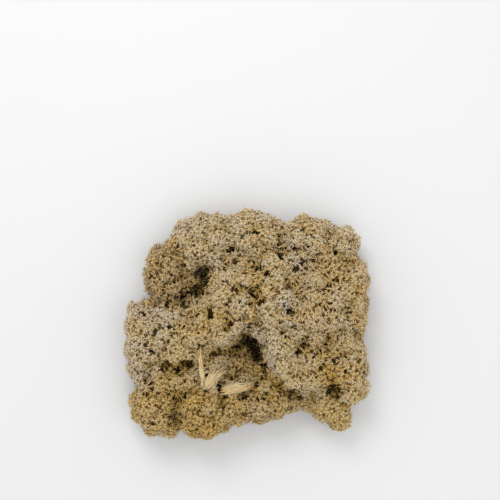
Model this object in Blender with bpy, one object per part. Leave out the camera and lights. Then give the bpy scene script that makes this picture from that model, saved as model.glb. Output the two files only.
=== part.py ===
"""Clump of dried reindeer moss, lying on its back: tufts pressed and hooked into each other.

Each tuft is one closed solid that reaches the tips of its branches. It is one cushion or a union of
two, and a cushion is a rounded, lumpy body that is pressed flat where a neighbouring tuft or the
surface under the clump meets it. Metres, +Z up; the origin is the middle of the clump's underside.
"""

import math
from dataclasses import dataclass

import bmesh
import bpy
from mathutils import Matrix, Vector, noise

MM = 0.001

GAP = 0.4 * MM  # clear space kept between two neighbouring tufts
ROUNDNESS = 2.3  # 2 is an ellipsoid; more is squarer, as a tightly packed cushion
PRESS = 14.0  # how sharply a cushion turns into the flat where a neighbour presses it
LUMPS = ((1.7, 0.10), (3.9, 0.05))  # how fine each set of lumps is, and its share of the radius
LUMP_SHIFT = 7 * MM  # middles this far apart give cushions lumps of their own
HALF_WIDTH = 94 * MM  # from the clump's middle line to its flattened left and right sides
SUBDIVISIONS = 3  # of each cushion's ball
LEVEL = 1e-6  # a direction that drops less than this never reaches the floor


@dataclass
class Cushion:
    """One rounded head of a tuft: centre, half sizes and turn about Z, in millimetres and degrees."""

    centre: tuple
    half: tuple
    turn: float = 0.0

    def __post_init__(self):
        self.middle = Vector(self.centre) * MM
        self.reach = Vector(self.half) * MM
        self.to_own = Matrix.Rotation(math.radians(-self.turn), 3, "Z")
        self.to_world = self.to_own.transposed()

    def own_scale(self, direction):
        """The direction in the cushion's own axes, as shares of its half sizes."""
        own = self.to_own @ direction
        return Vector((own.x / self.reach.x, own.y / self.reach.y, own.z / self.reach.z))

    def plain_radius(self, direction):
        """Distance from the middle to the smooth body, along a unit direction."""
        shares = self.own_scale(direction)
        return sum(abs(share) ** ROUNDNESS for share in shares) ** (-1 / ROUNDNESS)

    def outward(self, point):
        """The way that the smooth body faces at a point near it."""
        shares = self.own_scale(point - self.middle)
        steep = [
            math.copysign(abs(share) ** (ROUNDNESS - 1), share) / reach
            for share, reach in zip(shares, self.reach)
        ]
        return (self.to_world @ Vector(steep)).normalized()

    def lumpy_radius(self, direction):
        """The smooth radius with lumps, which differ from cushion to cushion."""
        radius = self.plain_radius(direction)
        start = self.middle / LUMP_SHIFT
        for fineness, share in LUMPS:
            radius *= 1 + share * noise.noise(direction * fineness + start)
        return radius


# Each tuft's colour and cushions. X runs right and Y up as the clump is looked down on.
TUFTS = {
    "left_tuft": (
        (0.50, 0.41, 0.30),
        (
            Cushion((-77.0, -16.0, 23), (21.0, 38.0, 28), 8),
            Cushion((-58.5, 1.5, 25), (20.0, 19.0, 25)),
        ),
    ),
    "upper_left_tuft": (
        (0.40, 0.33, 0.24),
        (Cushion((-58.0, 37.5, 21), (21.0, 27.0, 24)),),
    ),
    "centre_left_tuft": (
        (0.53, 0.44, 0.27),
        (
            Cushion((-45.0, -11.0, 27), (20.0, 24.0, 28)),
            Cushion((-53.0, -27.0, 24), (16.0, 14.0, 26)),
        ),
    ),
    "upper_centre_tuft": (
        (0.54, 0.44, 0.31),
        (
            Cushion((-10.5, 22.0, 30), (28.0, 26.0, 31), 10),
            Cushion((-22.0, -3.0, 29), (24.0, 18.0, 30), 8),
        ),
    ),
    "ridge_tuft": (
        (0.54, 0.43, 0.29),
        (
            Cushion((18.0, 21.0, 31), (18.5, 41.0, 31), 3),
            Cushion((26.5, -27.0, 29), (15.0, 34.0, 29), 24),
        ),
    ),
    "upper_right_tuft": (
        (0.53, 0.43, 0.31),
        (
            Cushion((53.0, 13.0, 28), (27.0, 33.0, 30), -6),
            Cushion((78.0, 20.0, 25), (20.0, 34.0, 28)),
        ),
    ),
    "lower_right_tuft": (
        (0.47, 0.37, 0.24),
        (Cushion((51.0, -33.0, 24), (20.0, 26.0, 26)),),
    ),
    "right_flank_tuft": (
        (0.53, 0.42, 0.26),
        (
            Cushion((78.5, -36.0, 23), (15.5, 30.0, 26), 4),
            Cushion((77.0, -17.0, 24), (14.0, 16.0, 25)),
        ),
    ),
    "bottom_right_tuft": (
        (0.50, 0.38, 0.21),
        (
            Cushion((57.0, -63.5, 17), (19.5, 11.5, 20), -28),
            Cushion((70.0, -70.5, 16), (10.5, 12.0, 19)),
        ),
    ),
    "lower_left_tuft": (
        (0.48, 0.38, 0.24),
        (
            Cushion((-65.0, -61.5, 22), (23.5, 23.0, 26)),
            Cushion((-55.5, -43.0, 25), (22.0, 17.0, 26)),
        ),
    ),
    "bottom_tuft": (
        (0.48, 0.38, 0.23),
        (
            Cushion((-31.5, -62.0, 25), (25.0, 24.5, 28)),
            Cushion((-12.0, -59.0, 23), (16.0, 19.0, 25)),
        ),
    ),
    "bottom_centre_tuft": (
        (0.42, 0.34, 0.20),
        (
            Cushion((16.5, -56.0, 21), (27.0, 19.5, 24), 12),
            Cushion((4.0, -64.0, 18), (14.0, 14.0, 21)),
        ),
    ),
    "inner_tuft": (
        (0.36, 0.29, 0.19),
        (Cushion((-2.0, -27.0, 15), (21.0, 19.0, 18)),),
    ),
    "stem_tuft": (
        (0.62, 0.52, 0.32),
        (
            Cushion((-26.0, -31.5, 24), (14.0, 19.0, 25)),
            Cushion((-9.5, -46.0, 21), (15.5, 11.5, 21)),
        ),
    ),
    "top_left_tuft": (
        (0.46, 0.38, 0.27),
        (Cushion((-32.0, 61.0, 24), (29.0, 24.0, 27), 14),),
    ),
    "top_centre_tuft": (
        (0.51, 0.42, 0.28),
        (Cushion((5.0, 68.0, 26), (27.0, 20.0, 28), -8),),
    ),
    "top_right_tuft": (
        (0.50, 0.41, 0.28),
        (
            Cushion((47.0, 62.0, 24), (25.0, 21.0, 27), -12),
            Cushion((70.0, 59.0, 22), (17.0, 17.0, 24)),
        ),
    ),
}


def empty_scene():
    """Remove whatever the scene holds."""
    for item in list(bpy.data.objects):
        bpy.data.objects.remove(item)


def pressing_plane(one, other):
    """The plane between two cushions, as a point and a unit normal that points at the other one.

    The point divides the line between their middles as their radii do, and the plane lies halfway
    between the ways that the two bodies face there.
    """
    line = other.middle - one.middle
    way = line.normalized()
    near, far = one.plain_radius(way), other.plain_radius(-way)
    point = one.middle + line * (near / (near + far))
    normal = (one.outward(point) - other.outward(point)).normalized()
    return point, normal


def planes_around(tuft, cushion):
    """The planes that press on a cushion: those of other tufts' cushions, and the clump's two sides."""
    sides = [(Vector((sign * HALF_WIDTH, 0, 0)), Vector((sign, 0, 0))) for sign in (-1, 1)]
    return sides + [
        pressing_plane(cushion, other)
        for name, (_, others) in TUFTS.items()
        if name != tuft
        for other in others
    ]


def pressed_radius(cushion, direction, planes):
    """Lumpy radius taken in smoothly by each plane, then cut off flat by the floor.

    The radii are joined as the sum of their powers of -PRESS, so the result stays under each of them.
    """
    powers = cushion.lumpy_radius(direction) ** -PRESS
    for point, normal in planes:
        towards = direction.dot(normal)
        if towards > 0:
            to_plane = (point - cushion.middle).dot(normal) - GAP / 2
            powers += (towards / to_plane) ** PRESS
    radius = powers ** (-1 / PRESS)
    if direction.z < -LEVEL:
        radius = min(radius, cushion.middle.z / -direction.z)
    return radius


def cushion_mesh(tuft, cushion):
    """A ball whose points are moved out to the pressed radius."""
    form = bmesh.new()
    bmesh.ops.create_icosphere(form, subdivisions=SUBDIVISIONS, radius=1)
    planes = planes_around(tuft, cushion)
    for vertex in form.verts:
        direction = vertex.co.normalized()
        vertex.co = cushion.middle + direction * pressed_radius(cushion, direction, planes)
        vertex.co.z = max(vertex.co.z, 0.0)
    mesh = bpy.data.meshes.new(tuft)
    form.to_mesh(mesh)
    form.free()
    mesh.shade_smooth()
    return mesh


def middle_of_underside(meshes):
    """The middle of the clump's box at the height of the surface that it lies on."""
    points = [vertex.co for mesh in meshes for vertex in mesh.vertices]
    lows = [min(point[axis] for point in points) for axis in range(3)]
    highs = [max(point[axis] for point in points) for axis in range(3)]
    return Vector(((lows[0] + highs[0]) / 2, (lows[1] + highs[1]) / 2, lows[2]))


def dry_moss(name, colour):
    """The dull finish of dried lichen in one tuft's colour."""
    material = bpy.data.materials.new(name)
    material.use_nodes = True
    shader = material.node_tree.nodes["Principled BSDF"]
    shader.inputs["Base Color"].default_value = (*colour, 1)
    shader.inputs["Roughness"].default_value = 0.95
    shader.inputs["Metallic"].default_value = 0.0
    return material


def add_tuft(name, colour, meshes):
    """One tuft: its first cushion, with a second one joined to it by a Boolean union."""
    body = bpy.data.objects.new(name, meshes[0])
    bpy.context.scene.collection.objects.link(body)
    body.data.materials.append(dry_moss(name + "_finish", colour))
    for mesh in meshes[1:]:
        helper = bpy.data.objects.new(name + "_second_cushion", mesh)
        bpy.context.scene.collection.objects.link(helper)
        helper.hide_render = True
        helper.display_type = "WIRE"
        union = body.modifiers.new("second_cushion", "BOOLEAN")
        union.operation = "UNION"
        union.solver = "EXACT"
        union.object = helper


def main():
    """Shape every cushion, move the clump to its origin and add the tufts."""
    empty_scene()
    shapes = {
        name: [cushion_mesh(name, cushion) for cushion in cushions]
        for name, (_, cushions) in TUFTS.items()
    }
    every_mesh = [mesh for meshes in shapes.values() for mesh in meshes]
    to_origin = Matrix.Translation(-middle_of_underside(every_mesh))
    for mesh in every_mesh:
        mesh.transform(to_origin)
    for name, (colour, _) in TUFTS.items():
        add_tuft(name, colour, shapes[name])


main()
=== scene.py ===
"""Looks of a clump of dried reindeer moss: tufts of fine forking branches, hooked into each other.

One skin is drawn round all tufts' solids, with the grooves between them filled and the clump's dark
hollows pressed in; the branches in hollows and grooves are painted darker as shade. Points spread
evenly over the skin are the outermost forks, and each throws a star of pronged arms, so that the
skin becomes a net with dark pores. Further in, forks join in twos and threes, until they end in the
old stems at the foot of their tuft, and side arms cross from tuft to tuft. Fans of bare pale stems
lie open on one tuft. All strands of a tuft are one mesh of swept tubes.
"""

import logging
import math
from dataclasses import dataclass, replace
from enum import Enum
from typing import ClassVar

import bpy
import numpy as np
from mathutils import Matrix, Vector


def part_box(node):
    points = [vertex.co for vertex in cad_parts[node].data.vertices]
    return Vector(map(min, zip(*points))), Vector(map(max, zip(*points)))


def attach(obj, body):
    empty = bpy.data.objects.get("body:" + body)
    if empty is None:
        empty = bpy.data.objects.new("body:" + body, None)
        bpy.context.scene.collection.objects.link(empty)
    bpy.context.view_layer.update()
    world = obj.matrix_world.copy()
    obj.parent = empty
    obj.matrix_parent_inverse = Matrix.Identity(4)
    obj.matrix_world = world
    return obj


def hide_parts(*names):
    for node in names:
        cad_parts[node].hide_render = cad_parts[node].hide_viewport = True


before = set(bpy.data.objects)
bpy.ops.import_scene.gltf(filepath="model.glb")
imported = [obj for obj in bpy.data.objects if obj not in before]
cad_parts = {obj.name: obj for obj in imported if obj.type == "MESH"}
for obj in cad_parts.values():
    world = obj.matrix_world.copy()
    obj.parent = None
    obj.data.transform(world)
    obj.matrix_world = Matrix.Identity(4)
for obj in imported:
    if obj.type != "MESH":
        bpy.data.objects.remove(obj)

log = logging.getLogger("moss_clump")

MM = 0.001
# The attribute that holds a branch's age together with the painted shade of hollows and grooves.
AGE_AND_SHADE = "age"
TONE = "tone"
BAKE_MAP = "OFBake"

TINY = 1e-12  # keeps a length that is divided by from being nought
FAR = 1000.0  # a kilometre, so further away than anything here
SAME_PLACE = 0.01 * MM  # corners of a mesh this close together are one corner
LOWEST = 1.2 * MM  # strands' middle lines stay this far above the floor
HAIR = 1.001  # makes a reach a hair longer, so that rounding leaves no fork out
UPPER = -0.3  # skin that faces up by more than this belongs to the clump's upper side
UNDER = -0.5  # skin that faces up by less than this belongs to its underside

Array = np.ndarray
Random = np.random.Generator
Colour = tuple[float, float, float]
Socket = bpy.types.NodeSocket


def unit(vectors: Array) -> Array:
    """Each vector divided by its length."""
    return vectors / np.maximum(np.linalg.norm(vectors, axis=-1, keepdims=True), TINY)


def pairs_within(points: Array, targets: Array, reach: float) -> tuple[Array, Array, Array]:
    """All pairs of a point and a target that lie within a reach of each other.

    Space is cut into cubes of the reach's size and the targets are sorted by cube. A point's
    candidates are then nine unbroken runs of that list, one for each column of three cubes round it.

    Args:
        points: rows of places.
        targets: rows of places.
        reach: the largest distance of a pair.

    Returns:
        The points' row numbers, the targets' row numbers and the distances.
    """
    low = np.minimum(points.min(0), targets.min(0))
    cell = np.floor((points - low) / reach).astype(np.int64) + 1
    target_cell = np.floor((targets - low) / reach).astype(np.int64) + 1
    size = np.maximum(cell.max(0), target_cell.max(0)) + 2
    weights = np.array((size[1] * size[2], size[2], 1))
    keys = target_cell @ weights
    order = np.argsort(keys, kind="stable")
    keys = keys[order]
    columns = np.array([x * weights[0] + y * weights[1] for x in (-1, 0, 1) for y in (-1, 0, 1)])
    wanted = (cell @ weights)[:, None] + columns
    first = np.searchsorted(keys, wanted - 1).ravel()
    count = np.searchsorted(keys, wanted + 1, side="right").ravel() - first
    rows = np.repeat(np.repeat(np.arange(len(points)), len(columns)), count)
    within = np.arange(count.sum()) - np.repeat(np.cumsum(count) - count, count)
    others = order[np.repeat(first, count) + within]
    gaps = np.linalg.norm(points[rows] - targets[others], axis=1)
    near = gaps < reach
    return rows[near], others[near], gaps[near]


def nearest_few(points: Array, targets: Array, count: int, reach: float) -> tuple[Array, Array]:
    """The nearest few targets of each point, the nearest first.

    Args:
        points: rows of places.
        targets: rows of places.
        count: how many targets each point gets.
        reach: targets further away than this are left out.

    Returns:
        A row of target numbers for each point, -1 where none is left, and their distances.
    """
    rows, others, gaps = pairs_within(points, targets, reach)
    order = np.lexsort((gaps, rows))
    rows, others, gaps = rows[order], others[order], gaps[order]
    rank = np.arange(len(rows)) - np.searchsorted(rows, rows)
    kept = rank < count
    table = np.full((len(points), count), -1)
    away = np.full((len(points), count), np.inf)
    table[rows[kept], rank[kept]] = others[kept]
    away[rows[kept], rank[kept]] = gaps[kept]
    return table, away


def spaced(points: Array, spacing: Array | float, rng: Random) -> Array:
    """A subset with no two points closer than their spacing, and no room for one more.

    Every point draws a rank. In each round a point is kept if its rank is the lowest among the
    undecided points round it, and those neighbours are dropped.

    Args:
        points: rows of places.
        spacing: the least distance, for all points or for each one; a pair goes by its mean.
        rng: where the ranks come from.

    Returns:
        Row numbers of the kept points.
    """
    room = np.broadcast_to(np.asarray(spacing, float), len(points))
    one, other, gaps = pairs_within(points, points, float(room.max()))
    clash = (one != other) & (gaps < (room[one] + room[other]) / 2)
    one, other = one[clash], other[clash]
    rank = rng.permutation(len(points)).astype(float)
    undecided = np.ones(len(points), bool)
    kept = np.zeros(len(points), bool)
    while undecided.any():
        live = undecided[one] & undecided[other]
        one, other = one[live], other[live]
        best = np.full(len(points), np.inf)
        np.minimum.at(best, one, rank[other])
        fresh = undecided & (rank < best)
        kept |= fresh
        undecided &= ~fresh
        undecided[one[fresh[other]]] = False
    return np.flatnonzero(kept)


def open_links(points: Array, count: int, reach: float) -> tuple[Array, Array]:
    """Links between neighbours with no third point in the ball between them.

    A link is open if every other near neighbour lies outside the ball that has the link as its
    diameter. Such links hardly cross, so pores stay open between them.

    Args:
        points: rows of places.
        count: how many neighbours are looked at.
        reach: the longest link.

    Returns:
        The row numbers of each link's two ends. A link comes once from either end.
    """
    table = nearest_few(points, points, count + 1, reach)[0][:, 1:]
    missing = table < 0
    away = points[table] - points[:, None]
    away[missing] = FAR
    half = away / 2
    gap = np.linalg.norm(away[:, None] - half[:, :, None], axis=-1)
    inside = gap < np.linalg.norm(half, axis=-1)[:, :, None]
    inside[:, np.arange(count), np.arange(count)] = False
    row, place = np.nonzero(~inside.any(-1) & ~missing)
    return row, table[row, place]


def placed(name: str, data: bpy.types.ID) -> bpy.types.Object:
    """A new object of the scene that shows the data."""
    item = bpy.data.objects.new(name, data)
    bpy.context.scene.collection.objects.link(item)
    return item


@dataclass(frozen=True)
class PhotoScale:
    """Where the photograph's pixels lie on the clump, which it shows from straight above."""

    pixel: float = 0.75 * MM  # the side of one
    column: float = 247.0  # of the clump's origin
    row: float = 325.0
    shift: float = -0.1 * MM  # how far above the origin that row is
    width: int = 500

    def places(self, pixels: tuple[tuple[float, float], ...]) -> Array:
        """Places in plan of pixels that are given as column and row."""
        at = np.array(pixels, float)
        return np.stack(
            [(at[:, 0] - self.column) * self.pixel, (self.row - at[:, 1]) * self.pixel + self.shift], 1
        )


PHOTO = PhotoScale()


@dataclass(frozen=True)
class Patch:
    """A hollow or a patch of other colour.

    It has the pixels that it runs through, half its width, its depth, the shade that it adds to the age
    of the branches (painted shade in hollows and creases, painted light on raised heads, and a colour of
    its own elsewhere), what it adds to their tone, and the share by which they stand closer together.
    Its last value is the share by which the grooves between heads are filled there, while the heads
    swell a little.
    """

    pixels: tuple[tuple[float, float], ...]
    width: float
    depth: float = 0.0
    shade: float = 0.0
    tone: float = 0.0
    closer: float = 0.0
    smooth: float = 0.0

    def share(self, places: Array) -> Array:
        """How far each place is in the patch: exp(-(d / width)^2), d the way to its line in plan.

        Args:
            places: rows of places.

        Returns:
            1 on the line and nearly 0 past two widths.
        """
        line = PHOTO.places(self.pixels)
        if len(line) == 1:
            line = np.repeat(line, 2, axis=0)
        start, run = line[:-1], np.diff(line, axis=0)
        gap = places[:, None, :2] - start[None]
        along = (gap * run).sum(-1) / np.maximum((run**2).sum(-1), TINY)
        gap = gap - np.clip(along, 0, 1)[:, :, None] * run
        return np.exp(-((gap**2).sum(-1).min(1)) / self.width**2)


PATCHES = (
    # Deep hollows, their branches painted dark as shadow, and a brown streak beside one.
    Patch(((203, 272), (204, 280), (198, 290)), 6.0 * MM, 14 * MM, 1.0),
    Patch(((291, 312),), 3.4 * MM, 7.0 * MM, 0.95),
    Patch(((300, 292), (301, 301)), 2.0 * MM, 0.0, 0.3, -0.3),
    Patch(((237, 347), (246, 340), (253, 347), (256, 358)), 5.0 * MM, 14 * MM, 0.95),
    Patch(((216, 352), (226, 350)), 3.4 * MM, 6 * MM, 0.55),
    # Heads that stand up, painted a little lighter as lit from above.
    Patch(((243, 320),), 6.0 * MM, -2.5 * MM, -0.1),
    Patch(((291, 291),), 5.0 * MM, -3.0 * MM, -0.1, -0.3),
    Patch(((298, 337),), 6.0 * MM, -2.5 * MM, -0.1),
    Patch(((332, 302),), 6.0 * MM, -1.5 * MM, -0.1, smooth=0.5),
    Patch(((337, 402),), 6.0 * MM, -3.0 * MM, -0.1),
    Patch(((216, 380), (217, 394)), 4.5 * MM, -3.0 * MM, -0.1),
    Patch(((163, 364),), 4.5 * MM, -2.5 * MM, -0.1),
    Patch(((162, 333), (159, 345)), 6.0 * MM, -4.0 * MM, -0.08, 0.15),
    # Shallow hollows, and the creases between tufts, their branches painted darker as shade.
    Patch(((173, 302), (184, 297)), 5.0 * MM, 3.0 * MM, 0.22, -0.1),
    Patch(((210, 311), (222, 315), (230, 324)), 3.6 * MM, 4.0 * MM, 0.3, 0.2),
    Patch(((239, 286), (248, 289), (257, 292)), 2.1 * MM, 7.0 * MM, 0.65, 0.2),
    Patch(((248, 302), (262, 296)), 1.5 * MM, 5.0 * MM, 0.35),
    Patch(((166, 366), (178, 371), (187, 366)), 3.0 * MM, 5.0 * MM, 0.45),
    Patch(((207, 364), (212, 355)), 3.2 * MM, 6.0 * MM, 0.5),
    Patch(((177, 397), (173, 410), (175, 424)), 5.5 * MM, 5.5 * MM, 0.55, 0.1),
    Patch(((328, 369), (331, 379), (335, 390)), 5.2 * MM, 5.5 * MM, 0.6, 0.3),
    Patch(((259, 352), (266, 372), (281, 389), (299, 399)), 3.2 * MM, 6.5 * MM, 0.66, 0.2),
    Patch(((242, 398), (256, 396), (282, 398)), 4.0 * MM, 3.0 * MM, 0.28),
    # Patches of other colour, some of them with closer branches on a low swelling.
    Patch(((206, 318), (212, 334)), 9.0 * MM, 0.0, 0.0, 0.3),
    Patch(((172, 334), (180, 352)), 9.0 * MM, 0.0, -0.02, 0.1),
    Patch(((170, 315), (178, 309)), 7.0 * MM, -1.0 * MM, 0.0, -0.3, 0.12),
    Patch(((214, 291),), 9.0 * MM, -1.5 * MM, -0.06, 0.0, 0.18),
    # The raised lip above the cavity and the ridge's left flank below it are painted lighter as lit.
    Patch(((224, 342), (236, 335)), 5.0 * MM, -2.0 * MM, -0.08, -0.15, 0.1),
    Patch(((266, 346), (271, 366)), 5.5 * MM, -2.0 * MM, -0.06, -0.2, 0.16),
    Patch(((355, 385), (356, 402)), 8.0 * MM, 0.0, 0.0, 0.1, 0.15),
    Patch(((283, 303), (287, 325)), 5.0 * MM, 0.0, -0.05, -0.4),
    Patch(((276, 352), (287, 378)), 8.0 * MM, 0.0, -0.06, 0.25),
    Patch(((256, 283), (264, 287)), 5.0 * MM, 0.0, 0.0, 0.5),
    # Painted shade in the hollow between the upper left and the centre left tufts.
    Patch(((180, 300),), 9.0 * MM, 0.0, 0.14, -0.1),
    Patch(((330, 420), (337, 426)), 9.0 * MM, 0.0, 0.04, 0.35, 0.15),
    Patch(((135, 416),), 7.0 * MM, 0.0, 0.05, 0.2, 0.2),
    # Places where the heads run together.
    Patch(((330, 411), (344, 424)), 9.0 * MM, smooth=0.85),
    Patch(((137, 400), (140, 420), (165, 432), (208, 434)), 8.0 * MM, smooth=0.6),
    # Pale ground under the fans of bare stems.
    Patch(((204, 389), (202, 372), (201, 348)), 3.6 * MM, 0.0, -0.12, 0.1),
    Patch(((206, 388), (214, 377), (223, 366)), 5.0 * MM, 0.0, -0.12, 0.15),
    Patch(((222, 389), (234, 388), (254, 384)), 5.0 * MM, 0.0, -0.12, 0.0),
)


def patched(places: Array, amount: str) -> Array:
    """What all patches add at each place: the sum of one of their amounts times their share.

    Args:
        places: rows of places.
        amount: the name of the patches' field.

    Returns:
        A number for each place.
    """
    return sum(
        getattr(patch, amount) * patch.share(places) for patch in PATCHES if getattr(patch, amount)
    )


# Pixels at the middles of the rounded heads that the photograph shows.
HEADS = (
    (218, 295), (198, 318), (239, 311), (226, 341), (266, 311), (264, 286), (287, 298), (344, 295),
    (316, 322), (360, 305), (338, 325), (272, 346), (279, 370), (309, 361), (312, 384), (350, 362),
    (357, 381), (352, 400), (337, 419), (319, 408), (178, 353), (193, 336), (166, 315), (153, 290),
    (177, 293), (130, 311), (131, 341), (142, 363), (137, 384), (158, 378), (178, 384), (150, 410),
    (160, 425), (193, 398), (196, 420), (212, 404), (225, 414), (247, 405), (262, 412), (282, 400),
    (236, 363), (248, 377), (263, 380), (214, 384), (236, 387), (309, 296),
)


@dataclass
class Skin:
    """A closed surface as triangles."""

    corners: Array
    faces: Array

    @classmethod
    def of_mesh(cls, mesh: bpy.types.Mesh) -> "Skin":
        """Reads a mesh, with loose triangles joined where their corners meet.

        Args:
            mesh: any closed mesh.

        Returns:
            The skin, with one corner for each place.
        """
        mesh.calc_loop_triangles()
        places = np.empty(len(mesh.vertices) * 3, np.float32)
        mesh.vertices.foreach_get("co", places)
        triangles = np.empty(len(mesh.loop_triangles) * 3, np.int32)
        mesh.loop_triangles.foreach_get("vertices", triangles)
        places = places.reshape(-1, 3).astype(float)
        grid = np.round(places / SAME_PLACE).astype(np.int64)
        _, first, joined = np.unique(grid, axis=0, return_index=True, return_inverse=True)
        return cls(places[first], joined.ravel()[triangles].reshape(-1, 3))

    def face_normals(self) -> Array:
        """Each triangle's normal, as long as twice its area."""
        a, b, c = self.corners[self.faces].transpose(1, 0, 2)
        return np.cross(b - a, c - a)

    def normals(self) -> Array:
        """Each corner's normal: the sum of its triangles' normals, scaled to length one."""
        across = self.face_normals()
        total = np.zeros_like(self.corners)
        for corner in range(3):
            np.add.at(total, self.faces[:, corner], across)
        return unit(total)

    def scatter(self, density: float, rng: Random) -> tuple[Array, Array, Array]:
        """Random points on the skin, evenly over its area.

        A point is (1 - s) a + s (1 - t) b + s t c for its triangle a, b, c, with s the square root of
        one random share and t another.

        Args:
            density: points for each square metre.
            rng: where the points come from.

        Returns:
            Their places, their normals and a corner number of each one's triangle.
        """
        areas = np.linalg.norm(self.face_normals(), axis=1)
        count = int(areas.sum() / 2 * density)
        chosen = self.faces[rng.choice(len(areas), count, p=areas / areas.sum())]
        root, share = np.sqrt(rng.random(count)), rng.random(count)
        weights = np.stack([1 - root, root * (1 - share), root * share], 1)[:, :, None]
        places = (self.corners[chosen] * weights).sum(1)
        return places, unit((self.normals()[chosen] * weights).sum(1)), chosen[:, 0]


@dataclass(frozen=True)
class Wrap:
    """How the skin round all tufts is drawn."""

    swell: float = 0.7 * MM  # how far the tufts' skins are moved out, so that they overlap
    cell: float = 1.5 * MM  # of the grid that the skin is drawn on
    fillet: float = 4.0 * MM
    smoothing: int = 5
    floor: float = 3.0 * MM  # no hollow goes deeper than this

    def around(self, skins: list[Skin]) -> Skin:
        """One skin round all tufts, with the grooves between them filled.

        The tufts' skins are swollen until they overlap and are joined into one shell. The shell is
        moved out by the fillet's radius, joined again and moved back in, which leaves each groove
        filled up to where a ball of that radius would rest.

        Args:
            skins: the tufts' own skins.

        Returns:
            The joined skin.
        """
        starts = np.cumsum([0] + [len(skin.corners) for skin in skins])
        mesh = bpy.data.meshes.new("wrap")
        mesh.from_pydata(
            np.concatenate([skin.corners + skin.normals() * self.swell for skin in skins]),
            [],
            np.concatenate([skin.faces + start for skin, start in zip(skins, starts)]),
        )
        shell = placed("wrap", mesh)
        for move in (None, self.fillet, -self.fillet - self.swell):
            if move:
                push = shell.modifiers.new("push", "DISPLACE")
                push.strength = move
                push.mid_level = 0
            join = shell.modifiers.new("join", "REMESH")
            join.mode = "VOXEL"
            join.voxel_size = self.cell
        relax = shell.modifiers.new("relax", "SMOOTH")
        relax.iterations = self.smoothing
        shaped = shell.evaluated_get(bpy.context.evaluated_depsgraph_get())
        skin = Skin.of_mesh(shaped.to_mesh())
        shaped.to_mesh_clear()
        bpy.data.objects.remove(shell)
        bpy.data.meshes.remove(mesh)
        return skin

    def press_hollows(self, skin: Skin) -> None:
        """Lowers the skin's upper side by each hollow's depth times its share, but not to the floor.

        Args:
            skin: the skin that is changed.
        """
        upper = skin.normals()[:, 2] > UPPER
        upper &= skin.corners[:, 2] > 2 * self.floor
        places = skin.corners[upper]
        places[:, 2] = np.maximum(places[:, 2] - patched(places, "depth"), self.floor)
        skin.corners[upper] = places


class Rings(Enum):
    """Which shares of a curve's length get a ring."""

    STRAIGHT = (0.0, 1.0)
    BENT = (0.0, 0.5, 1.0)
    SMOOTH = (0.0, 0.35, 0.7, 1.0)


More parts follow.
